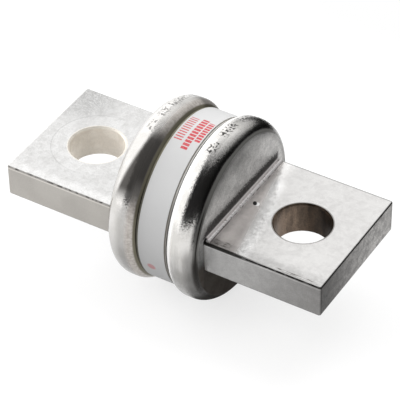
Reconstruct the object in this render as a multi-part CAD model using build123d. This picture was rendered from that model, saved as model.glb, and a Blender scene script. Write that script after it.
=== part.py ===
from build123d import *
from math import acos, cos, degrees, radians, sin, sqrt
import os

# Class T cartridge fuse, 300 V, frame size for 450 to 600 A, with bolted blade terminals.
# Two formed metal bells are rolled onto the ends of a short insulating barrel. A thick copper
# blade stands on the flat face of each bell, and its tenon goes through the bell into an inner
# contact plate. Six perforated ribbons join the two plates through a filling of quartz sand.
#
# Millimetres. The origin is the middle of the body. +X runs along the fuse's axis, +Y across
# the blades, and +Z is normal to them.

# Outside of the fuse
OVERALL_LENGTH = 77.8
BODY_LENGTH = 22.4  # over the flat faces of the two bells
HOLE_SPACING = 51.6
BLADE_WIDTH = 31.75
BLADE_THICKNESS = 7.9
HOLE_DIAMETER = 12.3
HOLE_CHAMFER = 0.35
BLADE_CORNER_RADIUS = 0.5
BLADE_EDGE_RADIUS = 0.4

# Barrel
BARREL_DIAMETER = 38.4
BARREL_WALL = 3.8
BARREL_END_CHAMFER = 0.4
LIP_GROOVE_RUNOUT = 1.0
FILL_HOLE_DIAMETER = 5.0

# End bells, formed from sheet
BELL_RISE = 1.4  # how far the bell's skirt stands out from the barrel
BELL_WALL = 1.2
BELL_SKIRT = 1.1  # straight length between the two rolls
BELL_CROWN_RADIUS = 3.9  # outer roll towards the flat face
BELL_FLATTENING = 0.3  # how far the flat face lies below the full roll
BELL_LIP_RADIUS = 3.0  # outer roll towards the label
BELL_LIP_END_ANGLE = 155  # where the rolled lip stops, seen from the lip's centre
BELL_CREASE_RADIUS = 0.3

# Label, wrapped round the barrel with a butt joint below
LABEL_MARGIN = 0.75  # bare barrel on each side of the label
LABEL_THICKNESS = 0.12
LABEL_JOINT = 0.5

# Solder beads where a blade meets its bell
BEAD_WIDTH = 1.0
BEAD_HEIGHT = 0.7
BEAD_WEB = 0.3  # depth of the solder against the bell's face
BEAD_END_MARGIN = 0.6
BEAD_SEAT_DEPTH = 0.08  # shallow rebate of the blade in which the solder lies

# Inner pieces
TENON_SHOULDER = 3.175
TENON_CORNER_RADIUS = 1.0
PLATE_THICKNESS = 2.0
PLATE_MARGIN = 0.35  # between the plate's rim and the bell's inner crown
GASKET_THICKNESS = 0.8
GASKET_MARGIN = 0.8
ELEMENT_COUNT = 6
ELEMENT_THICKNESS = 0.25
ELEMENT_FOOT = 1.6
ELEMENT_BEND_RADIUS = 0.3
STACK_MARGIN = 4.7  # sand above the outermost feet, on the middle line
CORNER_MARGIN = 2.0  # sand beside the corners of the outermost feet
PERFORATION_DIAMETER = 3.0
PERFORATION_PITCH = 4.0

# Clearances
SLOT_CLEARANCE = 0.05
SEAT_CLEARANCE = 0.1
SAND_CLEARANCE = 0.05

# Places along the axis that several pieces share
FACE_X = BODY_LENGTH / 2
PLATE_OUTER_X = FACE_X - BELL_WALL
PLATE_INNER_X = PLATE_OUTER_X - PLATE_THICKNESS
BARREL_END_X = PLATE_INNER_X - GASKET_THICKNESS

# Radii, and the centres of the bell's rolls in the plane of axis and radius
BARREL_RADIUS = BARREL_DIAMETER / 2
BORE_RADIUS = BARREL_RADIUS - BARREL_WALL
SAND_RADIUS = BORE_RADIUS - SAND_CLEARANCE
BELL_RADIUS = BARREL_RADIUS + BELL_RISE
CROWN_REACH = BELL_CROWN_RADIUS - BELL_FLATTENING
CROWN_X = FACE_X - CROWN_REACH
CROWN_R = BELL_RADIUS - BELL_CROWN_RADIUS
LIP_X = CROWN_X - BELL_SKIRT
LIP_R = BELL_RADIUS - BELL_LIP_RADIUS
LIP_START_X = LIP_X - sqrt(BELL_LIP_RADIUS**2 - (BARREL_RADIUS - LIP_R) ** 2)
LABEL_WIDTH = 2 * (LIP_START_X - LABEL_MARGIN)

# Height of the solder's seat, and the layout of the ribbons
BEAD_Z = BLADE_THICKNESS / 2 - BEAD_SEAT_DEPTH
STACK_TOP = BORE_RADIUS - STACK_MARGIN
TOP_LEVEL = STACK_TOP - ELEMENT_FOOT
ELEMENT_PITCH = 2 * TOP_LEVEL / (ELEMENT_COUNT - 1)
ELEMENT_SPAN = 2 * PLATE_INNER_X
ELEMENT_WIDTH = 2 * sqrt((BORE_RADIUS - CORNER_MARGIN) ** 2 - STACK_TOP**2)
PERFORATION_ROWS = round(ELEMENT_SPAN / PERFORATION_PITCH) - 1
PERFORATIONS_PER_ROW = int(ELEMENT_WIDTH / PERFORATION_PITCH)


def polar(center_x, center_r, radius, angle):
    """Point of the section at an angle and distance from a centre."""
    return (center_x + radius * cos(radians(angle)), center_r + radius * sin(radians(angle)))


def turned(section):
    """Turn a section, drawn as axis and radius, about the fuse's axis."""
    return revolve(section, axis=Axis.X, revolution_arc=360)


def to_side(solid, side):
    """Keep a piece of the right end, or mirror it to the left one."""
    return solid if side == "right" else mirror(solid, about=Plane.YZ)


def bell_section():
    """Wall of the right bell: flat face, rolled crown, short skirt and rolled lip."""
    inner_crown = BELL_CROWN_RADIUS - BELL_WALL
    inner_lip = BELL_LIP_RADIUS - BELL_WALL
    outer_face_angle = degrees(acos(CROWN_REACH / BELL_CROWN_RADIUS))
    inner_face_angle = degrees(acos((CROWN_REACH - BELL_WALL) / inner_crown))
    face_edge = polar(CROWN_X, CROWN_R, BELL_CROWN_RADIUS, outer_face_angle)
    inner_face_edge = polar(CROWN_X, CROWN_R, inner_crown, inner_face_angle)
    lip_sweep = BELL_LIP_END_ANGLE - 90
    with BuildSketch() as sketch:
        with BuildLine():
            Line((FACE_X, 0), face_edge)
            CenterArc((CROWN_X, CROWN_R), BELL_CROWN_RADIUS, outer_face_angle, 90 - outer_face_angle)
            Line((CROWN_X, BELL_RADIUS), (LIP_X, BELL_RADIUS))
            CenterArc((LIP_X, LIP_R), BELL_LIP_RADIUS, 90, lip_sweep)
            Line(
                polar(LIP_X, LIP_R, BELL_LIP_RADIUS, BELL_LIP_END_ANGLE),
                polar(LIP_X, LIP_R, inner_lip, BELL_LIP_END_ANGLE),
            )
            CenterArc((LIP_X, LIP_R), inner_lip, 90, lip_sweep)
            Line((LIP_X, BELL_RADIUS - BELL_WALL), (CROWN_X, BELL_RADIUS - BELL_WALL))
            CenterArc((CROWN_X, CROWN_R), inner_crown, inner_face_angle, 90 - inner_face_angle)
            Line(inner_face_edge, (PLATE_OUTER_X, 0))
            Line((PLATE_OUTER_X, 0), (FACE_X, 0))
        make_face()
        crease = sketch.vertices().sort_by_distance(face_edge)[0]
        fillet(crease, BELL_CREASE_RADIUS)
    return sketch.sketch


def tenon(clearance, inner_x, outer_x):
    """The blade's inner end, or the slot that it fills."""
    width = BLADE_WIDTH - 2 * TENON_SHOULDER + 2 * clearance
    thickness = BLADE_THICKNESS + 2 * clearance
    with BuildPart() as part:
        with BuildSketch(Plane.YZ.offset(inner_x)):
            RectangleRounded(width, thickness, TENON_CORNER_RADIUS + clearance)
        extrude(amount=outer_x - inner_x)
    return part.part


def end_bell():
    return turned(bell_section()) - tenon(SLOT_CLEARANCE, PLATE_INNER_X, FACE_X + BELL_WALL)


def terminal_blade():
    """Bar of the right terminal, with its bolt hole and its tenon."""
    length = OVERALL_LENGTH / 2 - FACE_X
    with BuildPart() as part:
        with Locations((FACE_X + length / 2, 0, 0)):
            Box(length, BLADE_WIDTH, BLADE_THICKNESS)
        end_face = part.faces().sort_by(Axis.X)[-1]
        fillet(end_face.edges().filter_by(Axis.Z), BLADE_CORNER_RADIUS)
        long_rims = [e for e in part.edges() if not e.is_closed and abs(e.center().Z) > BLADE_THICKNESS / 4]
        fillet([e for e in long_rims if e.center().X > FACE_X + BEAD_WIDTH], BLADE_EDGE_RADIUS)
        with Locations((HOLE_SPACING / 2, 0, 0)):
            Hole(HOLE_DIAMETER / 2)
        hole_rims = part.edges().filter_by(GeomType.CIRCLE).filter_by(
            lambda e: abs(e.radius - HOLE_DIAMETER / 2) < HOLE_CHAMFER / 10
        )
        chamfer(hole_rims, HOLE_CHAMFER)
        seat_length = BEAD_WIDTH + SEAT_CLEARANCE
        for level in (-BLADE_THICKNESS / 2, BLADE_THICKNESS / 2):
            with Locations((FACE_X + seat_length / 2, 0, level)):
                Box(seat_length, BLADE_WIDTH, 2 * BEAD_SEAT_DEPTH, mode=Mode.SUBTRACT)
    return part.part + tenon(0, PLATE_INNER_X, FACE_X)


def solder_bead(level):
    """Ridge of solder along one side of the blade, with the web that joins it to the bell."""
    half_length = BLADE_WIDTH / 2 - BEAD_END_MARGIN
    ridge_x = FACE_X + BEAD_WIDTH / 2
    with BuildPart() as part:
        with BuildSketch(Plane.XZ.offset(-half_length)):
            with Locations((ridge_x, BEAD_Z)):
                Ellipse(BEAD_WIDTH / 2, BEAD_HEIGHT)
            with Locations((FACE_X + BEAD_WIDTH / 4, BEAD_Z + BEAD_WEB / 2)):
                Rectangle(BEAD_WIDTH / 2, BEAD_WEB)
            with Locations((ridge_x, BEAD_Z - BEAD_HEIGHT)):
                Rectangle(2 * BEAD_WIDTH, 2 * BEAD_HEIGHT, mode=Mode.SUBTRACT)
        extrude(amount=2 * half_length)
    return part.part if level == "top" else mirror(part.part, about=Plane.XY)


def contact_plate():
    """Inner disc that holds the tenon and the feet of the ribbons."""
    inner_crown = BELL_CROWN_RADIUS - BELL_WALL
    reach = CROWN_REACH - BELL_WALL
    radius = CROWN_R + sqrt(inner_crown**2 - reach**2) - PLATE_MARGIN
    with BuildPart() as part:
        with BuildSketch(Plane.YZ.offset(PLATE_INNER_X)):
            Circle(radius)
        extrude(amount=PLATE_THICKNESS)
    return part.part - tenon(SLOT_CLEARANCE, PLATE_INNER_X, PLATE_OUTER_X)


def gasket():
    """Fibre washer between the barrel's end and the contact plate."""
    with BuildPart() as part:
        with BuildSketch(Plane.YZ.offset(BARREL_END_X)):
            Circle(BARREL_RADIUS - GASKET_MARGIN)
            Circle(BORE_RADIUS, mode=Mode.SUBTRACT)
        extrude(amount=GASKET_THICKNESS)
    return part.part


def barrel_half_profile():
    """Outer outline of the barrel's right half, from the middle to the end, with the lip's groove."""
    inner_lip = BELL_LIP_RADIUS - BELL_WALL
    lip_tip = polar(LIP_X, LIP_R, BELL_LIP_RADIUS, BELL_LIP_END_ANGLE)
    lip_heel = polar(LIP_X, LIP_R, inner_lip, BELL_LIP_END_ANGLE)
    floor_r = lip_heel[1] - SEAT_CLEARANCE
    wall_x = lip_tip[0] - SEAT_CLEARANCE
    return [
        (wall_x, BARREL_RADIUS),
        (wall_x, floor_r),
        (lip_heel[0], floor_r),
        (lip_heel[0] + LIP_GROOVE_RUNOUT, BARREL_RADIUS),
        (BARREL_END_X - BARREL_END_CHAMFER, BARREL_RADIUS),
        (BARREL_END_X, BARREL_RADIUS - BARREL_END_CHAMFER),
        (BARREL_END_X, BORE_RADIUS),
    ]


def fill_hole(inner_r):
    """Round hole through the barrel's wall, below, for pouring in the sand."""
    with BuildPart() as part:
        with BuildSketch(Plane.XY.offset(-BARREL_DIAMETER)):
            Circle(FILL_HOLE_DIAMETER / 2)
        extrude(amount=BARREL_DIAMETER - inner_r)
    return part.part


def barrel():
    right = barrel_half_profile()
    left = [(-x, r) for x, r in reversed(right)]
    with BuildSketch() as sketch:
        with BuildLine():
            Polyline(*left, *right, close=True)
        make_face()
    return turned(sketch.sketch) - fill_hole(BORE_RADIUS / 2)


def filler_plug():
    """Plug of the fill hole, flush with the barrel and flat towards the sand."""
    clear_plug = FILL_HOLE_DIAMETER / 2 - SLOT_CLEARANCE
    with BuildPart() as part:
        with BuildSketch(Plane.XY.offset(-BARREL_DIAMETER)):
            Circle(clear_plug)
        extrude(amount=BARREL_DIAMETER - BORE_RADIUS)
        with Locations(Rotation(0, 90, 0)):
            Cylinder(BARREL_RADIUS, BARREL_DIAMETER, mode=Mode.INTERSECT)
    return part.part


def label():
    """Paper band round the barrel, with a narrow butt joint below."""
    with BuildPart() as part:
        with BuildSketch(Plane.YZ.offset(-LABEL_WIDTH / 2)):
            Circle(BARREL_RADIUS + LABEL_THICKNESS)
            Circle(BARREL_RADIUS, mode=Mode.SUBTRACT)
            with Locations((0, -BARREL_RADIUS)):
                Rectangle(LABEL_JOINT, BARREL_RADIUS, mode=Mode.SUBTRACT)
        extrude(amount=LABEL_WIDTH)
    return part.part


def element_level(index):
    """Height of a ribbon above the middle of the fuse."""
    return (index - (ELEMENT_COUNT - 1) / 2) * ELEMENT_PITCH


def outward(index):
    """Sense in which a ribbon's feet are bent, away from the middle."""
    return 1 if element_level(index) > 0 else -1


def fuse_element(index):
    """Ribbon with rows of holes, and a foot bent up at each end against its contact plate."""
    height = ELEMENT_FOOT + ELEMENT_THICKNESS / 2
    row_pitch = ELEMENT_SPAN / (PERFORATION_ROWS + 1)
    with BuildPart() as part:
        with BuildSketch(Plane.XZ.offset(-ELEMENT_WIDTH / 2)) as side:
            with Locations((0, height / 2 - ELEMENT_THICKNESS / 2)):
                Rectangle(ELEMENT_SPAN, height)
            with Locations((0, height / 2 + ELEMENT_THICKNESS / 2)):
                Rectangle(ELEMENT_SPAN - 2 * ELEMENT_THICKNESS, height, mode=Mode.SUBTRACT)
            bends = side.vertices().filter_by_position(Axis.Y, -ELEMENT_THICKNESS, 0)
            fillet(bends, ELEMENT_BEND_RADIUS)
        extrude(amount=ELEMENT_WIDTH)
        with GridLocations(row_pitch, PERFORATION_PITCH, PERFORATION_ROWS, PERFORATIONS_PER_ROW):
            Cylinder(PERFORATION_DIAMETER / 2, 2 * ELEMENT_THICKNESS, mode=Mode.SUBTRACT)
    ribbon = part.part if outward(index) > 0 else mirror(part.part, about=Plane.XY)
    return Pos(0, 0, element_level(index)) * ribbon


def sand_filler():
    """Sand between the contact plates, with a slit for each ribbon and room for its feet."""
    slit = ELEMENT_THICKNESS + 2 * SAND_CLEARANCE
    foot_room = ELEMENT_FOOT + 2 * SAND_CLEARANCE
    foot_depth = ELEMENT_THICKNESS + ELEMENT_BEND_RADIUS
    room_width = ELEMENT_WIDTH + 2 * SAND_CLEARANCE
    with BuildPart() as part:
        Cylinder(SAND_RADIUS, ELEMENT_SPAN, rotation=(0, 90, 0))
        for index in range(ELEMENT_COUNT):
            level = element_level(index)
            with Locations((0, 0, level)):
                Box(ELEMENT_SPAN, room_width, slit, mode=Mode.SUBTRACT)
            foot_level = level + outward(index) * foot_room / 2
            for end_x in (-PLATE_INNER_X, PLATE_INNER_X):
                with Locations((end_x, 0, foot_level)):
                    Box(2 * foot_depth, room_width, foot_room, mode=Mode.SUBTRACT)
    return part.part


def all_pieces():
    pieces = {
        "barrel": barrel(),
        "label": label(),
        "filler_plug": filler_plug(),
        "sand_filler": sand_filler(),
    }
    for side in ("left", "right"):
        pieces[f"end_bell_{side}"] = to_side(end_bell(), side)
        pieces[f"terminal_blade_{side}"] = to_side(terminal_blade(), side)
        pieces[f"contact_plate_{side}"] = to_side(contact_plate(), side)
        pieces[f"gasket_{side}"] = to_side(gasket(), side)
        for level in ("top", "bottom"):
            pieces[f"solder_bead_{side}_{level}"] = to_side(solder_bead(level), side)
    for index in range(ELEMENT_COUNT):
        pieces[f"fuse_element_{index + 1}"] = fuse_element(index)
    return pieces


os.makedirs("parts", exist_ok=True)
for name, piece in all_pieces().items():
    export_step(piece, f"parts/{name}.step")
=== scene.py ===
import math

import bpy
from mathutils import Matrix, Vector


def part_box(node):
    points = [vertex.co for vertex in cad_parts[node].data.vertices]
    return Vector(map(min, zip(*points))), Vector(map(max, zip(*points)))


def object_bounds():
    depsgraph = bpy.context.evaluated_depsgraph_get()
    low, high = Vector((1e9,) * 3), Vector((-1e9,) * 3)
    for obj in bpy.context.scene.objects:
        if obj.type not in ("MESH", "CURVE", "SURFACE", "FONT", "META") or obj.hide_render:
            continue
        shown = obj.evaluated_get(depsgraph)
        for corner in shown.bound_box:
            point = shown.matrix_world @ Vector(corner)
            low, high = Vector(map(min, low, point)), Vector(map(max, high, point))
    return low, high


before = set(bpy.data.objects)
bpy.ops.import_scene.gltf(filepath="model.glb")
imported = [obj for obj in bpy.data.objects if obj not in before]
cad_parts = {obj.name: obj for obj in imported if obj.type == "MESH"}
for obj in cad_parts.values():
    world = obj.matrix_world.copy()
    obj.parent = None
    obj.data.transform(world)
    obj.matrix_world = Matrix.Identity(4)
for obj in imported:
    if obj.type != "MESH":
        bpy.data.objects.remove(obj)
cad_low, cad_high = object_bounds()

MM = 0.001

# Camera fitted to the photo: where it stands as seen from the origin, in degrees, and how far it is
# shifted to its right and upwards
CAMERA_AZIMUTH = 31.91
CAMERA_ELEVATION = 40.51
CAMERA_ROLL = -1.01
CAMERA_DISTANCE = 501.05 * MM
CAMERA_RIGHT = 0.38 * MM
CAMERA_UP = -0.64 * MM
FOCAL_PIXELS = 2323.7
PICTURE_PIXELS = 400
SENSOR_WIDTH = 36.0
# In metres
CLIP_NEAR, CLIP_FAR = 0.01, 50.0

# Sizes read from the frame, in millimetres as the shaders use them
BELL_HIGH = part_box("end_bell_right")[1] / MM
BLADE_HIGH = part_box("terminal_blade_right")[1] / MM
FACE_X, BELL_RADIUS = BELL_HIGH[0], BELL_HIGH[1]
BLADE_END_X, BLADE_SIDE, BLADE_TOP = BLADE_HIGH

# Other sizes of the part, in millimetres
FACE_RADIUS = 18.2
CREST_X = 7.1
HOLE_X = 25.8
HOLE_RADIUS = 6.15

# Marks on the metal, in millimetres, and in degrees about X from the top towards +Y. The dents of a
# crest are the middle of their row along X and then the groups' first and last degrees. The pit is
# turned about Z. A scratched window is its low and high end and soft edge, along X and along Y.
CREST_DENTS = {
    "right": (7.0, ((-18, -9), (-3, 11), (18, 36))),
    "left": (7.9, ((-17, -9), (-5, 4), (8, 34))),
}
DENT_ROW = 1.9
PIT_X, PIT_Y, PIT_RADIUS = 13.9, 0.4, 0.46
PIT_TURN = 32
WASHER_RING = 10.2
EDGE_SCRATCHES = (
    ((28.0, 37.5, 0.5), (-15.4, -14.7, 0.1)),
    ((12.6, 16.5, 0.5), (-15.2, -13.4, 0.1)),
)

# Print on the label: each row's ends along X, its first and last degrees, and a bar's length and gap.
# The dot is its X, its degrees and its radius.
PRINT_ROWS = (
    (-2.8, -0.9, -15.0, 8.0, 0.33, 0.45),
    (-0.2, 1.35, -20.0, 9.6, 0.72, 0.27),
    (1.65, 2.95, -12.0, 8.0, 0.6, 0.25),
)
PRINT_DOT = (-0.6, -108.7, 1.0)

# Soft light of the studio as the metal sees it: a wide bank on the left, a lamp behind, and a low
# card in front, in a dark room. Angles are in degrees. A light begins to fade at the angle full from
# its middle and is gone at the angle gone, and the lamp behind ends below in a tilted soft edge.
# Matt surfaces see one even level in place of all this.
EVEN_LEVEL = 0.72
ROOM_LEVEL = 0.012
BANK = {"azimuth": -86, "elevation": 4, "full": 58, "gone": 63, "level": 1.5}
BACK_LAMP = {"azimuth": -154, "elevation": 42, "full": 6, "gone": 61, "level": 1.18}
BACK_LAMP_FOOT = {"low": 0, "high": 11, "tilt": 25}
CARD = {"from": -35, "to": 50, "soft": 12, "top": 8, "top_soft": 2, "level": 1.0}

# Floor sheet in millimetres, cut askew at its far right
FLOOR_REACH = 500
SHEET_LEFT, SHEET_RIGHT, SHEET_FRONT, SHEET_BACK, SHEET_FAR_BACK = -450, 65, -400, 85, 450
SHEET_CUT_X, SHEET_CUT_SLOPE = -30, 0.45
SHEET_FEATHER = 15
FLOOR_COLOR = 0.32
FLOOR_LIFT = 0.70

# Soft lamps that light only matt surfaces: distance and size in metres, then azimuth, elevation and
# watts of each
LAMP_DISTANCE = 1.2
LAMP_SIZE = 1.0
LAMPS = {"top_lamp": (180, 60, 6.5), "left_lamp": (-82, 20, 14.0)}

# In the materials below, the numbers that go into ramp are where a change starts and ends, in
# millimetres, degrees or parts of a noise, and then the levels at both if they aren't 0 and 1. The
# numbers that go into inside are two ends and the width of the soft edges. Colours are in linear light.

# Which way along X each blade points
OUTWARD = {"right": 1, "left": -1}
# How squarely a surface faces an axis, where it begins to count as flat and where it does in full
FACING = 0.8, 0.98
# How far from one half a noise is cut off, for sharp, plain and soft patches
SHARP, PLAIN, SOFT = 0.1, 0.15, 0.2
# Part of the mottle where the satin faces begin to be dull, and where they are dull in full
MOTTLED = 0.35, 0.7


def direction(azimuth, elevation):
    """Unit vector towards a place in the sky, with azimuth 0 towards -Y and 90 towards +X."""
    a, e = math.radians(azimuth), math.radians(elevation)
    return Vector((math.sin(a) * math.cos(e), -math.cos(a) * math.cos(e), math.sin(e)))


class Graph:
    """A node tree, with short names for the nodes that it is made of."""

    def __init__(self, tree):
        self.tree = tree
        tree.nodes.clear()

    def node(self, kind, **settings):
        made = self.tree.nodes.new(kind)
        for key, value in settings.items():
            setattr(made, key, value)
        return made

    def feed(self, socket, value):
        if isinstance(value, bpy.types.NodeSocket):
            self.tree.links.new(value, socket)
        else:
            socket.default_value = value

    def split(self, vector):
        made = self.node("ShaderNodeSeparateXYZ")
        self.feed(made.inputs[0], vector)
        return made.outputs

    def math(self, operation, *values):
        made = self.node("ShaderNodeMath", operation=operation)
        for socket, value in zip(made.inputs, values):
            self.feed(socket, value)
        return made.outputs[0]

    def plus(self, first, second):
        return self.math("ADD", first, second)

    def minus(self, first, second):
        return self.math("SUBTRACT", first, second)

    def times(self, first, *others):
        for other in others:
            first = self.math("MULTIPLY", first, other)
        return first

    def most(self, first, *others):
        for other in others:
            first = self.math("MAXIMUM", first, other)
        return first

    def ramp(self, value, low, high, to_low=0.0, to_high=1.0, kind="SMOOTHSTEP"):
        """The value's step from one level to another, held beyond them."""
        made = self.node("ShaderNodeMapRange", interpolation_type=kind)
        for socket, number in zip(made.inputs, (value, low, high, to_low, to_high)):
            self.feed(socket, number)
        return made.outputs[0]

    def inside(self, value, low, high, edge):
        """1 where the value lies between two levels, 0 outside, with soft edges."""
        above_low = self.ramp(value, low - edge, low + edge)
        return self.times(above_low, self.ramp(value, high + edge, high - edge))

    def distance(self, first, second):
        return self.math("SQRT", self.plus(self.times(first, first), self.times(second, second)))

    def spread(self, noise, low=0.0, high=1.0, reach=PLAIN):
        """A noise, whose values crowd round one half, spread between two levels."""
        return self.ramp(noise, 0.5 - reach, 0.5 + reach, low, high)

    def blend(self, amount, first, second):
        """Number that goes from the first to the second."""
        made = self.node("ShaderNodeMix", data_type="FLOAT")
        sockets = made.inputs[0], made.inputs[2], made.inputs[3]
        for socket, value in zip(sockets, (amount, first, second)):
            self.feed(socket, value)
        return made.outputs[0]


class Shader(Graph):
    """One procedural material. All its places and sizes are in millimetres. nx and nz say how squarely
    the surface faces the X and the Z axis."""

    def __init__(self, name):
        self.material = bpy.data.materials.new(name)
        self.material.use_nodes = True
        super().__init__(self.material.node_tree)
        self.output = self.node("ShaderNodeOutputMaterial")
        self.surface = self.node("ShaderNodeBsdfPrincipled")
        self.tree.links.new(self.surface.outputs[0], self.output.inputs["Surface"])
        source = self.node("ShaderNodeTexCoord")
        self.place = self.scaled(source.outputs["Object"], 1 / MM, 1 / MM, 1 / MM)
        self.x, self.y, self.z = self.split(self.place)
        normal_x, _, normal_z = self.split(source.outputs["Normal"])
        self.nx, self.nz = self.math("ABSOLUTE", normal_x), self.math("ABSOLUTE", normal_z)

    def set(self, name, value):
        if name in ("Base Color", "Emission Color") and not isinstance(value, bpy.types.NodeSocket):
            value = (*value, 1)
        self.feed(self.surface.inputs[name], value)

    def scaled(self, vector, x, y, z):
        made = self.node("ShaderNodeVectorMath", operation="MULTIPLY")
        self.feed(made.inputs[0], vector)
        made.inputs[1].default_value = (x, y, z)
        return made.outputs[0]

    def noise(self, size, detail=2.0, roughness=0.5, stretch=(1, 1, 1)):
        """Noise whose lumps are about as large as size, and longer along an axis of small stretch."""
        made = self.node("ShaderNodeTexNoise")
        self.feed(made.inputs["Vector"], self.scaled(self.place, *stretch))
        made.inputs["Scale"].default_value = 1 / size
        made.inputs["Detail"].default_value = detail
        made.inputs["Roughness"].default_value = roughness
        return made.outputs["Fac"]

    def mix(self, amount, first, second):
        made = self.node("ShaderNodeMix", data_type="RGBA")
        self.feed(made.inputs["Factor"], amount)
        for socket, value in zip((made.inputs[6], made.inputs[7]), (first, second)):
            self.feed(socket, value if isinstance(value, bpy.types.NodeSocket) else (*value, 1))
        return made.outputs[2]

    def shade(self, color, factor):
        made = self.node("ShaderNodeVectorMath", operation="SCALE")
        self.feed(made.inputs[0], color)
        self.feed(made.inputs["Scale"], factor)
        return made.outputs[0]

    def grained(self, normal, size, strength):
        """The normal, tilted at random in lumps about as large as size."""
        noise = self.node("ShaderNodeTexNoise")
        self.feed(noise.inputs["Vector"], self.place)
        noise.inputs["Scale"].default_value = 1 / size
        noise.inputs["Detail"].default_value = 1.0
        tilt = self.node("ShaderNodeVectorMath", operation="MULTIPLY_ADD")
        self.feed(tilt.inputs[0], noise.outputs["Color"])
        tilt.inputs[1].default_value = (strength, strength, strength)
        tilt.inputs[2].default_value = (-strength / 2, -strength / 2, -strength / 2)
        total = self.node("ShaderNodeVectorMath", operation="ADD")
        self.feed(total.inputs[0], normal)
        self.feed(total.inputs[1], tilt.outputs[0])
        even = self.node("ShaderNodeVectorMath", operation="NORMALIZE")
        self.feed(even.inputs[0], total.outputs[0])
        return even.outputs[0]

    def bump(self, height, depth, below=None):
        """Normal of a relief whose height, from 0 to 1, stands for the depth."""
        made = self.node("ShaderNodeBump")
        made.inputs["Distance"].default_value = depth * MM
        self.feed(made.inputs["Height"], height)
        if below is not None:
            self.feed(made.inputs["Normal"], below)
        return made.outputs[0]

    def turn(self):
        """Angle about X in degrees, 0 at the top and 90 towards +Y."""
        return self.times(self.math("ARCTAN2", self.y, self.z), math.degrees(1))


class Blade(Shader):
    """Silver plate on copper: satin upper and lower faces, sheared sides, and edges darkened by painted
    shade. The colours are in the classes of the two blades."""

    METAL = 0.9

    def __init__(self):
        super().__init__(f"silver_plate_{self.SIDE}")
        self.mottle = self.noise(1.6, detail=4.0, roughness=0.65)
        self.grain = self.noise(0.3, detail=3.0, roughness=0.65)
        self.cloud = self.noise(9.0, detail=2.0)
        end_bevel = 0.15, 0.3
        self.flat = self.ramp(self.nz, *FACING)
        self.end_bevel = self.ramp(self.nx, *end_bevel)
        self.below_top = self.minus(BLADE_TOP, self.z)
        self.from_near_side = self.plus(self.y, BLADE_SIDE)
        self.from_far_side = self.minus(BLADE_SIDE, self.y)
        self.outward = self.times(self.x, OUTWARD[self.SIDE])
        self.past_hole = self.minus(self.outward, HOLE_X)
        self.hole_distance = self.distance(self.past_hole, self.y)

    def shaded_edges(self):
        """1 on the bevels along the edges, where painted shade darkens them, weaker here and there."""
        side_bevel, end_bevel = (0.2, 0.9, 0.07), (0.35, 0.75, 0.1)
        patch_size, weakness = 1.3, (0.35, 0.5, 0.6, 1.0)
        at_sides, at_end = self.inside(self.nz, *side_bevel), self.inside(self.nz, *end_bevel)
        bevel = self.blend(self.end_bevel, at_sides, at_end)
        return self.times(bevel, self.ramp(self.noise(patch_size), *weakness))

    def edges(self):
        return self.shaded_edges()

    def sides(self):
        """The sheared long sides, with a painted highlight as a paler line below the upper edge."""
        highlight_line, pale = (0.5, 0.75, 0.1), 1.5
        in_highlight_line = self.inside(self.below_top, *highlight_line)
        return self.shade(self.side_color(), self.blend(in_highlight_line, 1.0, pale))

    def end_color(self):
        return self.side_color()

    def end(self):
        low, high = self.END_SPECKLE
        speckled = self.times(self.spread(self.grain, low, high), self.spread(self.mottle, low, high))
        return self.shade(self.end_color(), speckled)

    def hole(self):
        low, high = 1 - self.HOLE_GRAIN, 1 + self.HOLE_GRAIN
        return self.shade(self.hole_color(), self.spread(self.grain, low, high, SOFT))

    def marks(self, color):
        """Colour with what marks the faces, and how metallic it is."""
        return color, self.METAL

    def finish(self, color, metal, in_hole):
        polished, dullest, side_roughness = 0.2, 0.27, 0.38
        relief, tilt_size, tilt = 0.01, 0.6, 0.14
        self.set("Base Color", color)
        self.set("Metallic", self.blend(in_hole, metal, self.HOLE_METAL))
        flat_roughness = self.spread(self.cloud, polished, dullest, SOFT)
        self.set("Roughness", self.blend(self.flat, side_roughness, flat_roughness))
        self.set("Normal", self.grained(self.bump(self.mottle, relief), tilt_size, tilt))
        return self.material

    def paint(self):
        wall, rim, rim_faces_up = (0.42, 0.3), (0.36, 0.58, 0.06), (0.5, 0.8)
        past_wall = self.minus(self.hole_distance, HOLE_RADIUS)
        in_hole = self.ramp(past_wall, *wall)
        on_rim = self.times(self.inside(past_wall, *rim), self.ramp(self.nz, *rim_faces_up))
        at_end = self.ramp(self.nx, *FACING)
        color = self.mix(at_end, self.mix(self.flat, self.sides(), self.faces()), self.end())
        color = self.mix(self.edges(), color, self.edge_color())
        color = self.mix(in_hole, color, self.hole())
        # The hole's rim is painted: a pale highlight on the left blade and a dark line of shade on the
        # right
        color = self.mix(self.times(on_rim, self.RIM_AMOUNT), color, self.RIM_COLOR)
        color, metal = self.marks(color)
        return self.finish(color, metal, in_hole)


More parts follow.
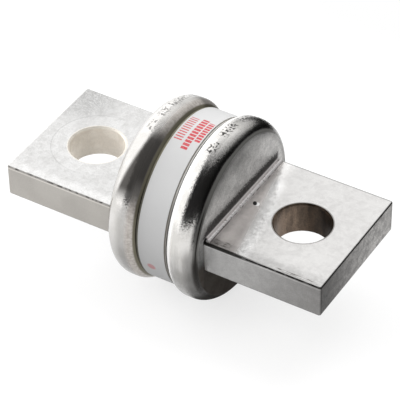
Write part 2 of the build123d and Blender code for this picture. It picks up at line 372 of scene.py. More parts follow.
class RightBlade(Blade):
    """Darkened by painted shade beside the bell, with a dark near edge, a dark end and a brown hole."""

    SIDE = "right"
    # The rim's dark colour is painted shade
    RIM_COLOR, RIM_AMOUNT = (0.12, 0.11, 0.1), 0.6
    HOLE_METAL, HOLE_GRAIN = 0.7, 0.25
    END_SPECKLE = 0.7, 1.3

    def __init__(self):
        super().__init__()
        slant = 0.2
        self.slanting = self.plus(self.x, self.times(self.y, slant))

    def edges(self):
        """Edges darkened by painted shade, with a thicker dark line of painted shade on the near upper
        edge beside the bell.
        """
        down, inwards, along = (0.75, 0.45), (0.65, 0.35), (27, 17)
        corner = self.times(self.ramp(self.below_top, *down), self.ramp(self.from_near_side, *inwards))
        return self.most(self.shaded_edges(), self.times(corner, self.ramp(self.x, *along)))

    def edge_color(self):
        # The edges' near-black colours are painted shade
        at_sides, at_end = (0.02, 0.019, 0.017), (0.1, 0.095, 0.09)
        return self.mix(self.end_bevel, at_sides, at_end)

    def faces(self):
        """Satin, pinkish up to a bright streak of painted highlight beside the bell, lightened by painted
        light close to the bell with painted shade by the near side there, and duller along the near side.
        """
        satin, dulled, bright = (0.72, 0.712, 0.70), (0.64, 0.63, 0.62), (0.93, 0.925, 0.915)
        streak, streak_end = (15.4, 18.2, 1.1), (11, 8)
        pinkish, pinkish_until = (1.03, 0.985, 0.97), (16.5, 14.5)
        color = self.mix(self.ramp(self.mottle, *MOTTLED), satin, dulled)
        # The bright streak is a painted highlight
        in_highlight_streak = self.times(self.inside(self.slanting, *streak), self.ramp(self.y, *streak_end))
        color = self.mix(in_highlight_streak, color, bright)
        color = self.mix(self.ramp(self.slanting, *pinkish_until), color, self.scaled(color, *pinkish))

        # Painted light close to the bell, and a patch of painted shade by the near side there
        beside_bell, near_shade = (13.5, 16.5, 1.3, 1.0), 0.85
        near_shade_depth, near_shade_length = (-13.2, -13.8), (18.5, 16.5)
        in_near_shade = self.times(self.ramp(self.y, *near_shade_depth), self.ramp(self.x, *near_shade_length))
        color = self.shade(color, self.blend(in_near_shade, self.ramp(self.x, *beside_bell), near_shade))

        band_depth, band_patches, band = (-11.5, -14.5), (0.3, 0.6, 0.6, 1.0), 0.77
        far_edge = 0.6, 0.25, 1.0, 0.45
        in_band = self.times(self.ramp(self.y, *band_depth), self.ramp(self.mottle, *band_patches))
        color = self.shade(color, self.blend(in_band, 1.0, band))
        return self.shade(color, self.ramp(self.from_far_side, *far_edge))

    def side_color(self):
        """Darker towards the end, and brightened by painted light in the corner with the bell."""
        at_bell, at_end, corner = (0.40, 0.395, 0.39), (0.225, 0.22, 0.215), (11.3, 13.0, 2.2, 1.0)
        color = self.mix(self.ramp(self.x, FACE_X, BLADE_END_X), at_bell, at_end)
        patches = self.times(self.spread(self.mottle, 0.94, 1.06), self.spread(self.cloud, 0.93, 1.07))
        patches = self.times(patches, self.spread(self.grain, 0.93, 1.07))
        return self.shade(color, self.times(self.ramp(self.x, *corner), patches))

    def end_color(self):
        # A dark end, partly its own sheared metal and partly painted shade, darkest at the near side
        near, far = (0.04, 0.037, 0.034), (0.34, 0.33, 0.32)
        return self.mix(self.ramp(self.y, -BLADE_SIDE, 0.5 * BLADE_SIDE), near, far)

    def hole_color(self):
        """Brown and dark wall, lighter beside the bell by a painted reflection, with streaks along the
        hole.
        """
        light, dark, across = (0.205, 0.15, 0.11), (0.045, 0.029, 0.018), (-5.5, -1.0)
        streaks = self.noise(1.6, detail=3.0, roughness=0.65, stretch=(1, 1, 0.3))
        color = self.mix(self.ramp(self.past_hole, *across), light, dark)
        return self.shade(color, self.spread(streaks, 0.7, 1.3))

    def scratches(self, span_x, span_y):
        """Broken fine lines along X in one window of the face."""
        window = self.times(self.inside(self.x, *span_x), self.inside(self.y, *span_y))
        line_gap, along_x, line_fade = 0.22, (0.12, 1, 1), (0.53, 0.6)
        lines = self.noise(line_gap, detail=1.0, stretch=along_x)
        return self.times(window, self.ramp(lines, *line_fade))

    def pit(self, color):
        """A small pit in the face, black with painted shade, with a painted highlight as a bright spot
        beside it.
        Returns also where both are.
        """
        depth_ratio, edge = 0.65, 0.08
        spot_wide, spot_deep, spot_fade = 0.4, -0.3, (0.75, 0.45)
        black, bright = (0.01, 0.01, 0.01), (0.92, 0.92, 0.91)
        x, y = self.minus(self.x, PIT_X), self.minus(self.y, PIT_Y)
        turned = math.radians(PIT_TURN)
        wide = self.plus(self.times(x, math.cos(turned)), self.times(y, math.sin(turned)))
        deep = self.minus(self.times(y, math.cos(turned)), self.times(x, math.sin(turned)))
        upper = self.ramp(self.z, 0, 1)
        past_rim = self.minus(self.distance(wide, self.times(deep, depth_ratio)), PIT_RADIUS)
        in_pit = self.times(self.ramp(past_rim, edge, -edge), upper)
        from_pit_highlight = self.distance(self.minus(wide, spot_wide), self.minus(deep, spot_deep))
        in_pit_highlight = self.times(self.ramp(from_pit_highlight, *spot_fade), upper)
        return self.mix(in_pit, self.mix(in_pit_highlight, color, bright), black), self.most(in_pit, in_pit_highlight)

    def marks(self, color):
        """Colour with the scratches and the pit, and how metallic it is."""
        scratch_color, scratch_amount = (0.12, 0.11, 0.1), 0.8
        metal = 15, 17.5, 0.72, self.METAL
        worn = self.most(*(self.scratches(*window) for window in EDGE_SCRATCHES))
        color = self.mix(self.times(worn, self.flat, scratch_amount), color, scratch_color)
        color, marked = self.pit(color)
        return color, self.blend(marked, self.ramp(self.slanting, *metal), 0.0)


class LeftBlade(Blade):
    """Paler, with the ring that a washer left, a grey far corner, and a light hole whose wall is
    lightened by painted light and whose rim has a painted highlight.
    """

    SIDE = "left"
    # The rim's pale colour is a painted highlight
    RIM_COLOR, RIM_AMOUNT = (0.86, 0.83, 0.76), 0.8
    HOLE_METAL, HOLE_GRAIN = 0.25, 0.07
    END_SPECKLE = 0.93, 1.05

    def edge_color(self):
        # The edges' colours are painted shade, paler in patches
        dark, pale, patch_size, pale_patches = (0.12, 0.115, 0.11), (0.36, 0.345, 0.33), 0.9, (0.4, 0.55)
        return self.mix(self.ramp(self.noise(patch_size), *pale_patches), dark, pale)

    def faces(self):
        satin, dulled, near_side = (0.76, 0.757, 0.75), (0.655, 0.65, 0.64), (-12.5, -14.5, 1.0, 1.15)
        color = self.mix(self.ramp(self.mottle, *MOTTLED), satin, dulled)
        speckled = self.spread(self.grain, 0.94, 1.05)
        color = self.shade(color, self.times(speckled, self.ramp(self.y, *near_side)))

        corner_x, corner_y, corner_patches, corner_shade = (26, 35), (0, 12), (0.36, 0.6), 0.6
        corner = self.times(self.ramp(self.outward, *corner_x), self.ramp(self.y, *corner_y))
        corner = self.times(corner, self.ramp(self.grain, *corner_patches))
        color = self.shade(color, self.blend(corner, 1.0, corner_shade))

        ring_line, ring_shows, ring_shade = (-0.12, 0.12, 0.1), (22, 29), 0.87
        within_ring = 0.2, -0.2, 0.97, 1.0
        from_ring = self.minus(self.hole_distance, WASHER_RING)
        ring = self.times(self.inside(from_ring, *ring_line), self.ramp(self.outward, *ring_shows))
        ring_tone = self.times(self.ramp(from_ring, *within_ring), self.blend(ring, 1.0, ring_shade))
        return self.shade(color, ring_tone)

    def side_color(self):
        light, dark = (0.46, 0.44, 0.41), (0.415, 0.395, 0.368)
        color = self.mix(self.spread(self.cloud), light, dark)
        return self.shade(color, self.spread(self.grain, 0.95, 1.05))

    def hole_color(self):
        # A pale wall, lightened as painted light against the shade in the hole
        dark, light, patch_size = (0.8, 0.745, 0.665), (0.88, 0.83, 0.75), 2.5
        return self.mix(self.spread(self.noise(patch_size), reach=SHARP), dark, light)


class Bell(Shader):
    """Tin plate: softly polished on the rolls, blotchy and brushed on the flat face. The rolls' colours
    are in the classes of the two bells."""

    PLATE_METAL = 0.35

    def __init__(self):
        super().__init__(f"tin_plate_{self.SIDE}")
        self.reach = self.math("ABSOLUTE", self.x)
        self.radius = self.distance(self.y, self.z)
        self.angle = self.turn()
        face_fade, lower_fade = (0.2, 0.05), (-0.5, -3.2)
        self.face = self.ramp(self.minus(FACE_X, self.reach), *face_fade)
        self.lower_face = self.ramp(self.z, *lower_fade)
        self.blotch = self.noise(3.5, detail=4.0, roughness=0.6)
        self.brushed = self.noise(0.4, detail=3.0, roughness=0.65, stretch=(1, 1, 0.35))
        self.speckle = self.noise(0.3, detail=2.0, roughness=0.6)
        clean, dulled, dull_patches = (0.71, 0.695, 0.675), (0.65, 0.635, 0.61), (0.4, 0.65)
        self.tin = self.mix(self.ramp(self.blotch, *dull_patches), clean, dulled)

    def crest_dents(self):
        """Small irregular dents in the crest, in a few groups."""
        middle, spans = CREST_DENTS[self.SIDE]
        group_edge, row_edge, dent_size, dent_fade = 0.7, 0.5, 0.5, (0.57, 0.61)
        groups = self.most(*(self.inside(self.angle, first, last, group_edge) for first, last in spans))
        row = self.inside(self.reach, middle - DENT_ROW / 2, middle + DENT_ROW / 2, row_edge)
        return self.times(groups, row, self.ramp(self.noise(dent_size, detail=0.0), *dent_fade))

    def plate(self):
        """The clean flat face: brushed, blotchy, and darker towards the top and the rim by painted shade.
        """
        near, far, across = (0.60, 0.592, 0.578), (0.62, 0.608, 0.595), (-9, 9)
        top, rim, rim_shows = (11, 16.5, 1.0, 0.6), (16.8, 18.3), (-56, -46, 0, 0.35)
        color = self.mix(self.ramp(self.y, *across), near, far)
        color = self.shade(color, self.spread(self.blotch, 0.8, 1.2, SOFT))
        brushing = self.spread(self.brushed, 0.88, 1.1, SOFT)
        color = self.shade(color, self.times(brushing, self.spread(self.speckle, 0.85, 1.15, SOFT)))
        at_rim = self.times(self.ramp(self.radius, *rim), self.ramp(self.angle, *rim_shows))
        return self.shade(color, self.times(self.ramp(self.z, *top), self.minus(1.0, at_rim)))

    def joint(self, color):
        """What lies along the upper solder bead: painted shade, a ragged dark band of painted shade and
        reflection, a light strip and a black corner of painted shade.
        """
        blade_wide, shade_fade, shade = (-16.4, 14.9, 0.4), (9.5, 7.2), 0.7
        behind_blade = self.inside(self.y, *blade_wide)
        shaded = self.times(self.ramp(self.z, *shade_fade), behind_blade)
        color = self.shade(color, self.blend(shaded, 1.0, shade))

        # The ragged dark band above the bead is painted shade and reflection
        taper, lowering, raggedness = (-16.5, -13.5, 5.5, 7.15), (0, 15, 0, 0.45), 0.35
        foot, upper_fade = (4.8, 5.4), (0.85, -0.3)
        shade_top = self.minus(self.ramp(self.y, *taper), self.ramp(self.y, *lowering))
        ragged = self.spread(self.speckle, -raggedness, raggedness)
        above = self.plus(self.minus(self.z, shade_top), ragged)
        painted_shade = self.times(self.ramp(self.z, *foot), self.ramp(above, *upper_fade), behind_blade)
        shade_color = self.mix(self.spread(self.brushed), (0.03, 0.028, 0.027), (0.065, 0.06, 0.057))
        color = self.mix(painted_shade, color, shade_color)

        strip, strip_color = (4.0, 4.92, 0.12), (0.88, 0.855, 0.85)
        # The black corner is painted shade
        corner_y, corner_z, corner_fade, corner_color = -15.6, 4.2, (1.0, 0.6), (0.012, 0.011, 0.01)
        color = self.mix(self.times(self.inside(self.z, *strip), behind_blade), color, strip_color)
        from_corner = self.distance(self.minus(self.y, corner_y), self.minus(self.z, corner_z))
        return self.mix(self.ramp(from_corner, *corner_fade), color, corner_color)

    def crease(self, color):
        """The dark line of painted shade round the lower near part of the flat face."""
        line, line_shows, line_color = (0.6, 0.9, 0.12), (-42, -62), (0.02, 0.018, 0.016)
        past_face = self.minus(self.radius, FACE_RADIUS)
        on_line = self.times(self.inside(past_face, *line), self.ramp(self.angle, *line_shows))
        return self.mix(on_line, color, line_color)

    def relief(self, dents):
        """A rounded crest with soft waves, the dents and a fine grain."""
        crest_width, crest_height = 1.3, 0.1
        wave_size, wave_height, dent_depth = 4.0, 0.015, -0.13
        grain_size, tilt = 0.26, 0.32
        across = self.math("DIVIDE", self.minus(self.reach, CREST_X), crest_width)
        hump = self.most(self.minus(1.0, self.times(across, across)), 0.0)
        rounded = self.bump(self.times(hump, hump), crest_height)
        waved = self.bump(self.noise(wave_size, detail=2.0), wave_height, rounded)
        return self.grained(self.bump(dents, dent_depth, waved), grain_size, tilt)

    def plate_metal(self):
        return self.PLATE_METAL

    def painted_shade(self, roll_shade):
        """Where the painted shade lies, which is also made rough, given where it lies on the rolls."""
        return roll_shade

    def paint(self):
        dent_color = 0.05, 0.047, 0.044
        crown_roughness, lip_roughness, shaded_roughness = 0.2, 0.3, 0.8
        plate_polished, plate_dullest = 0.34, 0.44
        roll, lip, dullness, roll_shade = self.roll()
        dents = self.crest_dents()
        roll = self.mix(self.times(dents, self.DENT_AMOUNT), roll, dent_color)
        color = self.mix(self.face, roll, self.joint(self.shade_plate(self.plate())))
        self.set("Base Color", self.crease(color))
        self.set("Specular IOR Level", 0.1)
        self.set("Metallic", self.blend(self.face, self.minus(1.0, dullness), self.plate_metal()))
        roll_roughness = self.blend(lip, crown_roughness, lip_roughness)
        plate_roughness = self.spread(self.blotch, plate_polished, plate_dullest, SOFT)
        roughness = self.blend(self.face, roll_roughness, plate_roughness)
        self.set("Roughness", self.blend(self.painted_shade(roll_shade), roughness, shaded_roughness))
        self.set("Normal", self.relief(dents))
        return self.material


class RightBell(Bell):
    """Lip with a painted highlight, a brim darkened by painted reflection and shade, and painted shade on
    the lower part.
    """

    SIDE = "right"
    DENT_AMOUNT = 0.95

    def brim(self):
        """1 on the brim, which starts nearer to the flat face in the upper part."""
        upper_start, side_start, width = (-22, -8, 10.33, 10.5), (-55, -65, 0, 0.15), 0.35
        lower_half, middle_reach, foot, foot_reach = (4, -1), (9.9, 10.6), (-5, -14), (7.6, 9.2)
        start = self.minus(self.ramp(self.angle, *upper_start), self.ramp(self.angle, *side_start))
        upper = self.ramp(self.minus(self.reach, start), 0, width)
        middle, low = self.ramp(self.reach, *middle_reach), self.ramp(self.reach, *foot_reach)
        lower = self.blend(self.ramp(self.z, *foot), middle, low)
        return self.blend(self.ramp(self.z, *lower_half), upper, lower)

    def roll(self):
        """Colour of the rolls, with painted shade towards the bottom and on the crown, a painted
        highlight on the lip and painted reflection and shade on the brim; then where the lip, the dull
        parts and the painted shade are.
        """
        lower_half, lower_shade, streak_shade = (6, 1), (5, -6, 1.0, 0.48), 0.85
        upper_crown, lower_crown = (9.5, 10.2, 1.0, 0.4), (7.8, 9.8, 1.0, 0.5)
        foot, foot_crown = (-9, -17), (6.5, 9.5, 1.0, 0.4)
        # Darker towards the bottom, on the crown and at the foot: painted shade
        lower = self.ramp(self.z, *lower_half)
        in_upper, in_lower = self.ramp(self.reach, *upper_crown), self.ramp(self.reach, *lower_crown)
        crown = self.blend(lower, in_upper, in_lower)
        color = self.shade(self.tin, self.times(self.ramp(self.z, *lower_shade), crown))
        streaks = self.spread(self.noise(0.8, detail=3.0, roughness=0.6, stretch=(1, 1, 0.2)))
        color = self.shade(color, self.blend(self.times(lower, streaks), 1.0, streak_shade))
        at_foot = self.blend(self.ramp(self.z, *foot), 1.0, self.ramp(self.reach, *foot_crown))
        color = self.shade(color, at_foot)

        lip_fade, lip_color, lip_dullness = (5.8, 4.8), (0.97, 0.965, 0.95), (4.7, 4.2, 0.85, 1.0)
        brim_fade, upper_brim, lower_brim = (4, -1), (0.18, 0.178, 0.168), (0.03, 0.027, 0.024)
        shaded_below, brim_dullness = (-9, -14), 0.6
        # The lip's near-white, dull colour is a painted highlight
        lip = self.ramp(self.reach, *lip_fade)
        color = self.mix(lip, color, lip_color)
        # The brim's dark colours are painted reflection and shade
        brim = self.brim()
        color = self.mix(brim, color, self.mix(self.ramp(self.z, *brim_fade), upper_brim, lower_brim))
        low = self.ramp(self.z, *shaded_below)
        dull_lip = self.times(lip, self.ramp(self.reach, *lip_dullness))
        dull_brim = self.times(brim, self.blend(low, brim_dullness, 1.0))
        return color, lip, self.most(dull_lip, dull_brim), self.times(brim, low)

    def shade_plate(self, color):
        """Painted shade on the flat face: darker at its near side and beside the blade, and a dark coat
        of painted shade on its lower half.
        """
        near_side, beside_depth, beside_height = (-74, -56, 0.55, 1.0), (-15.8, -16.1), (4.6, 3.8)
        beside_shade = 2.5, -2, 0.72, 0.3
        shade_color, dirt_and_shade_color = (0.06, 0.05, 0.042), (0.084, 0.074, 0.065)
        color = self.shade(color, self.ramp(self.angle, *near_side))
        beside = self.times(self.ramp(self.y, *beside_depth), self.ramp(self.z, *beside_height))
        color = self.shade(color, self.blend(beside, 1.0, self.ramp(self.z, *beside_shade)))
        # The lower half gets a dark coat of painted shade
        shade_tone = self.mix(self.spread(self.blotch), shade_color, dirt_and_shade_color)
        return self.mix(self.lower_face, color, shade_tone)

    def plate_metal(self):
        return self.blend(self.lower_face, self.PLATE_METAL, 0.0)

    def painted_shade(self, roll_shade):
        return self.most(roll_shade, self.times(self.lower_face, self.face))


class LeftBell(Bell):
    """Brownish dull lip lightened in places by painted light, a dark band of painted reflection, and a
    duller far side lit by painted light and shaded further round.
    """

    SIDE = "left"
    DENT_AMOUNT = 0.6

    def lip_color(self):
        dark, light = (0.31, 0.285, 0.262), (0.43, 0.405, 0.38)
        # Lighter at the bottom and near the top of the lip: painted light
        lighter_below, lighter_above = (-60, -72, 1.0, 1.5), (-16, 6, 1.0, 1.5)
        streaks = self.spread(self.noise(0.5, detail=3.0, roughness=0.6, stretch=(0.3, 1, 1)))
        color = self.mix(streaks, dark, light)
        lighter = self.most(self.ramp(self.angle, *lighter_below), self.ramp(self.angle, *lighter_above))
        return self.shade(color, lighter)

    def roll(self):
        """Colour of the rolls, with painted shade towards the bottom, at the crown's foot and by the
        barrel, painted light on the far side and a dark band of painted reflection; then where the lip,
        the dull parts and the painted shade are.
        """
        lower_shade, foot, foot_crown = (5, -8, 1.0, 0.62), (-62, -72), (9, 6.8, 1.0, 0.7)
        far_side, far_crown, far_color = (10, 18), (10.2, 9.4), (0.62, 0.61, 0.59)
        # Darker towards the bottom and at the crown's foot: painted shade
        color = self.shade(self.tin, self.ramp(self.z, *lower_shade))
        at_foot = self.blend(self.ramp(self.angle, *foot), 1.0, self.ramp(self.reach, *foot_crown))
        color = self.shade(color, at_foot)
        # The far side is made light and dull as painted light
        far = self.ramp(self.angle, *far_side)
        color = self.mix(self.times(far, self.ramp(self.reach, *far_crown)), color, far_color)
        lip_fade, inmost, inmost_color = (6.4, 5.0), (4.5, 4.2), (0.19, 0.175, 0.13)
        lip = self.ramp(self.reach, *lip_fade)
        color = self.mix(lip, color, self.lip_color())
        # The inmost dark tone by the barrel is painted shade
        color = self.mix(self.ramp(self.reach, *inmost), color, inmost_color)

        # The dark band, a painted reflection, starts nearer to the barrel the higher it lies
        band_start, rise, band_edge, band_span = 5.35, 1 / 15, (0.6, -0.5), (-60, -17, 6)
        past_inmost, low_end = (4.15, 4.45), (-45, -57)
        black, grey = (0.085, 0.08, 0.075), (0.2, 0.19, 0.18)
        start = self.minus(band_start, self.times(self.angle, rise))
        band = self.ramp(self.minus(self.reach, start), *band_edge)
        band = self.times(band, self.inside(self.angle, *band_span))
        band_color = self.mix(self.times(self.ramp(self.angle, *low_end), lip), black, grey)
        color = self.mix(self.times(band, self.ramp(self.reach, *past_inmost)), color, band_color)

        # Painted shade further round the far side
        far_shade, lip_dullness, far_dullness, band_dullness = (27, 34, 1.0, 0.5), 0.5, 0.65, 0.55
        color = self.shade(color, self.ramp(self.angle, *far_shade))
        dull_far, dull_band = self.times(far, far_dullness), self.times(band, band_dullness)
        return color, lip, self.most(self.times(lip, lip_dullness), dull_far, dull_band), 0.0

    def shade_plate(self, color):
        """Painted shade: darkens the flat face's lower half a little."""
        lower_shade = 0.7
        return self.shade(color, self.blend(self.lower_face, 1.0, lower_shade))


def label_material():
    """Matte pale paper. The print is rows of bare bars and one dot in red."""
    m = Shader("label_paper")
    turn = m.turn()
    arc_per_degree = math.radians(1) * BELL_RADIUS
    arc = m.times(turn, arc_per_degree)
    bar_edge, row_edge, end_edge = 0.06, 0.08, 0.3
    bars = []
    for low, high, first, last, length, gap in PRINT_ROWS:
        step = m.math("PINGPONG", m.minus(arc, first * arc_per_degree), (length + gap) / 2)
        bar = m.ramp(step, gap / 2 - bar_edge, gap / 2 + bar_edge)
        across, along = m.inside(m.x, low, high, row_edge), m.inside(turn, first, last, end_edge)
        bars.append(m.times(bar, across, along))
    dot_x, dot_turn, dot_radius = PRINT_DOT
    dot_edge, dot_strength = 0.25, 0.6
    from_dot = m.distance(m.minus(m.x, dot_x), m.minus(arc, dot_turn * arc_per_degree))
    dot = m.ramp(from_dot, dot_radius + dot_edge, dot_radius - dot_edge)

    ink_color, ink_wear = (0.53, 0.03, 0.045), (0.3, 0.55, 0.75, 0.97)
    dark, light, shaded_span, shade = (0.59, 0.59, 0.59), (0.63, 0.63, 0.63), (-42, -8, 12), 0.92
    paper = m.mix(m.noise(5.0, detail=3.0), dark, light)
    # A band of painted shade across the paper
    paper = m.shade(paper, m.blend(m.inside(turn, *shaded_span), 1.0, shade))
    printed = m.most(*bars, m.times(dot, dot_strength))
    ink = m.times(printed, m.ramp(m.noise(0.3), *ink_wear))
    m.set("Base Color", m.mix(ink, paper, ink_color))
    m.set("Roughness", 0.55)
    return m.material


def barrel_material():
    """Olive-brown woven laminate, lighter on the upper part of its left strip by painted light and beside
    the right bell's lip by a painted reflection of the lip.
    """
    m = Shader("glass_melamine")
    turn = m.turn()
    weave = m.noise(0.5, detail=3.0, roughness=0.6, stretch=(1.0, 0.25, 0.25))
    upper_left, lip_fade, lip_weaker = (-55, -25, 1.0, 2.2), (3.3, 3.85), (-45, -65, 1.0, 0.4)
    under_label = -1, 1
    left_tones = (0.055, 0.05, 0.033), (0.11, 0.105, 0.072)
    right_tones, lip_reflection = ((0.11, 0.1, 0.08), (0.18, 0.165, 0.14)), (0.66, 0.65, 0.63)
    # Painted light on the upper part of the left strip, and a painted reflection of the lip on the right
    left = m.shade(m.mix(weave, *left_tones), m.ramp(turn, *upper_left))
    near_lip = m.times(m.ramp(m.x, *lip_fade), m.ramp(turn, *lip_weaker))
    right = m.mix(near_lip, m.mix(weave, *right_tones), lip_reflection)
    m.set("Base Color", m.mix(m.ramp(m.x, *under_label), left, right))
    m.set("Roughness", 0.5)
    m.set("Normal", m.bump(weave, 0.03))
    return m.material


def solder_material():
    """Lumpy tin, dirty along its foot on the blade, with one dark pore."""
    m = Shader("tin_solder")
    lumps = m.noise(0.9, detail=3.0, roughness=0.6)
    foot_fade, dirty_end, dirt_and_shade_color = (12.1, 12.2), (-5, -8), (0.13, 0.105, 0.1)
    pore_y, pore_z, pore_fade = -8.0, 4.7, (0.26, 0.14)
    corner_depth, below, corner_shade = (-13, -15), (0, -2), 0.2
    dull, bright = (0.72, 0.69, 0.685), (0.92, 0.89, 0.88)
    color = m.mix(lumps, dull, bright)
    # The lower near corner is darkened by painted shade
    lower_corner = m.times(m.ramp(m.y, *corner_depth), m.ramp(m.z, *below))
    color = m.shade(color, m.blend(lower_corner, 1.0, corner_shade))
    foot = m.ramp(m.math("ABSOLUTE", m.x), *foot_fade)
    dirt = m.most(m.spread(m.noise(0.9), reach=SHARP), m.ramp(m.y, *dirty_end))
    dirty_foot = m.times(foot, dirt)
    pore = m.ramp(m.distance(m.minus(m.y, pore_y), m.minus(m.z, pore_z)), *pore_fade)
    m.set("Base Color", m.mix(m.most(dirty_foot, pore), color, dirt_and_shade_color))
    m.set("Metallic", 0.45)
    m.set("Roughness", m.spread(lumps, 0.25, 0.38, SOFT))
    m.set("Normal", m.bump(lumps, 0.03))
    return m.material


def inner_material(name, dark, light, size, metallic, roughness, relief):
    """Copper, fibre and sand of the sealed pieces: two tones in lumps of a given size."""
    m = Shader(name)
    lumps = m.noise(size, detail=3.0, roughness=0.6)
    m.set("Base Color", m.mix(lumps, dark, light))
    m.set("Metallic", metallic)
    m.set("Roughness", roughness)
    m.set("Normal", m.bump(lumps, relief))
    return m.material


def dress(material, *nodes):
    for name in nodes:
        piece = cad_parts[name]
        piece.data.materials.clear()
        piece.data.materials.append(material)


def dress_all():
    dress(LeftBlade().paint(), "terminal_blade_left")
    dress(RightBlade().paint(), "terminal_blade_right")
    dress(LeftBell().paint(), "end_bell_left")
    dress(RightBell().paint(), "end_bell_right")
    dress(label_material(), "label")
    dress(barrel_material(), "barrel")
    beads = [f"solder_bead_{side}_{level}" for side in ("left", "right") for level in ("top", "bottom")]
    dress(solder_material(), *beads)
    copper = inner_material(
        "copper", dark=(0.62, 0.32, 0.22), light=(0.78, 0.46, 0.33), size=1.5,
        metallic=1.0, roughness=0.32, relief=0.004,
    )
    fibre = inner_material(
        "fibre", dark=(0.34, 0.25, 0.17), light=(0.46, 0.35, 0.25), size=0.6,
        metallic=0.0, roughness=0.8, relief=0.03,
    )
    sand = inner_material(
        "quartz_sand", dark=(0.58, 0.53, 0.45), light=(0.8, 0.76, 0.68), size=0.3,
        metallic=0.0, roughness=0.75, relief=0.08,
    )
    elements = [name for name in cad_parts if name.startswith("fuse_element")]
    dress(copper, "contact_plate_left", "contact_plate_right", *elements)
    dress(fibre, "gasket_left", "gasket_right", "filler_plug")
    dress(sand, "sand_filler")


def build_floor():
    """Sheet of pale card under the fuse, with soft edges. The metal sees it as the camera does, and
    from below it is clear, so that the underside can be looked at."""
    size, gap = FLOOR_REACH * MM, 0.01 * MM
    level = cad_low[2] - gap
    mesh = bpy.data.meshes.new("floor")
    corners = [(-size, -size, level), (size, -size, level), (size, size, level), (-size, size, level)]
    mesh.from_pydata(corners, [], [(0, 1, 2, 3)])
    floor = bpy.data.objects.new("floor", mesh)
    bpy.context.collection.objects.link(floor)
    m = Shader("pale_floor")
    m.set("Base Color", (FLOOR_COLOR, FLOOR_COLOR, FLOOR_COLOR))
    m.set("Roughness", 0.9)
    m.set("Specular IOR Level", 0.0)
    rays = m.node("ShaderNodeLightPath").outputs
    seen = m.most(rays["Is Camera Ray"], rays["Is Glossy Ray"], rays["Is Transmission Ray"])
    m.set("Emission Color", (1.0, 1.0, 1.0))
    m.set("Emission Strength", m.times(seen, FLOOR_LIFT))
    beyond = m.minus(m.y, SHEET_BACK)
    cut = m.plus(m.minus(m.x, SHEET_CUT_X), m.times(beyond, SHEET_CUT_SLOPE))
    sheet = m.times(
        m.inside(m.x, SHEET_LEFT, SHEET_RIGHT, SHEET_FEATHER),
        m.inside(m.y, SHEET_FRONT, SHEET_FAR_BACK, SHEET_FEATHER),
        m.most(m.ramp(beyond, SHEET_FEATHER, -SHEET_FEATHER), m.ramp(cut, SHEET_FEATHER, -SHEET_FEATHER)),
        m.minus(1.0, m.node("ShaderNodeNewGeometry").outputs["Backfacing"]),
    )
    clear = m.node("ShaderNodeMixShader")
    m.feed(clear.inputs[0], sheet)
    m.tree.links.new(m.node("ShaderNodeBsdfTransparent").outputs[0], clear.inputs[1])
    m.tree.links.new(m.surface.outputs[0], clear.inputs[2])
    m.tree.links.new(clear.outputs[0], m.output.inputs["Surface"])
    mesh.materials.append(m.material)


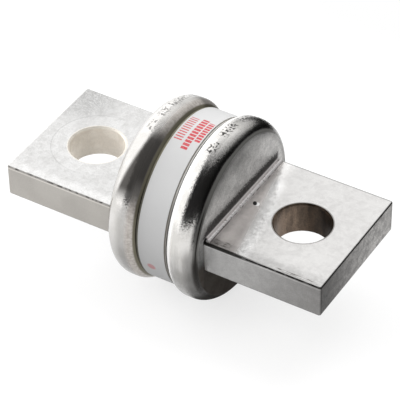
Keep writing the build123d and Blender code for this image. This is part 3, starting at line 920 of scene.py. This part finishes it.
def build_world():
    """White for the camera, and the soft lights of the studio for all other rays."""
    world = bpy.data.worlds.new("studio")
    bpy.context.scene.world = world
    world.use_nodes = True
    g = Graph(world.node_tree)
    heading = g.node("ShaderNodeTexCoord").outputs["Generated"]
    x, y, z = g.split(heading)
    azimuth = g.times(g.math("ARCTAN2", x, g.times(y, -1)), math.degrees(1))
    elevation = g.times(g.math("ARCSINE", z), math.degrees(1))

    def light(spec, kind):
        dot = g.node("ShaderNodeVectorMath", operation="DOT_PRODUCT")
        g.feed(dot.inputs[0], heading)
        dot.inputs[1].default_value = direction(spec["azimuth"], spec["elevation"])
        away = g.times(g.math("ARCCOSINE", dot.outputs["Value"]), math.degrees(1))
        return g.ramp(away, spec["full"], spec["gone"], spec["level"], 0.0, kind)

    bank = light(BANK, "SMOOTHSTEP")
    tilt = math.radians(BACK_LAMP_FOOT["tilt"])
    tilted = g.plus(g.times(x, -math.sin(tilt)), g.times(z, math.cos(tilt)))
    rise = g.times(g.math("ARCSINE", tilted), math.degrees(1))
    foot = g.ramp(rise, BACK_LAMP_FOOT["low"], BACK_LAMP_FOOT["high"])
    back = g.times(light(BACK_LAMP, "LINEAR"), foot)
    card_top, soft = CARD["top"], CARD["top_soft"]
    card = g.times(
        g.inside(azimuth, CARD["from"], CARD["to"], CARD["soft"]),
        g.ramp(elevation, card_top + soft, card_top - soft, 0.0, CARD["level"]),
    )
    level = g.most(bank, back, card, ROOM_LEVEL)
    rays = g.node("ShaderNodeLightPath").outputs
    background = g.node("ShaderNodeBackground")
    background.inputs["Color"].default_value = (1, 1, 1, 1)
    level = g.blend(rays["Is Diffuse Ray"], level, EVEN_LEVEL)
    g.feed(background.inputs["Strength"], g.blend(rays["Is Camera Ray"], level, 1.0))
    output = g.node("ShaderNodeOutputWorld")
    g.tree.links.new(background.outputs[0], output.inputs["Surface"])


def build_lamps():
    for name, (azimuth, elevation, watts) in LAMPS.items():
        data = bpy.data.lights.new(name, "AREA")
        data.shape = "DISK"
        data.size = LAMP_SIZE
        data.energy = watts
        lamp = bpy.data.objects.new(name, data)
        bpy.context.collection.objects.link(lamp)
        towards = direction(azimuth, elevation)
        lamp.location = towards * LAMP_DISTANCE
        lamp.rotation_euler = towards.to_track_quat("Z", "Y").to_euler()
        lamp.visible_glossy = False
        lamp.visible_camera = False


def build_camera():
    back = direction(CAMERA_AZIMUTH, CAMERA_ELEVATION)
    a, r = math.radians(CAMERA_AZIMUTH), math.radians(CAMERA_ROLL)
    level_right = Vector((math.cos(a), math.sin(a), 0))
    level_up = back.cross(level_right)
    right = level_right * math.cos(r) + level_up * math.sin(r)
    up = level_up * math.cos(r) - level_right * math.sin(r)
    data = bpy.data.cameras.new("camera")
    data.sensor_width = SENSOR_WIDTH
    data.lens = FOCAL_PIXELS / PICTURE_PIXELS * SENSOR_WIDTH
    data.clip_start, data.clip_end = CLIP_NEAR, CLIP_FAR
    camera = bpy.data.objects.new("camera", data)
    bpy.context.collection.objects.link(camera)
    place = back * CAMERA_DISTANCE + right * CAMERA_RIGHT + up * CAMERA_UP
    camera.matrix_world = Matrix.Translation(place) @ Matrix((right, up, back)).transposed().to_4x4()
    bpy.context.scene.camera = camera


bpy.context.scene.view_settings.view_transform = "Standard"
dress_all()
build_floor()
build_world()
build_lamps()
build_camera()
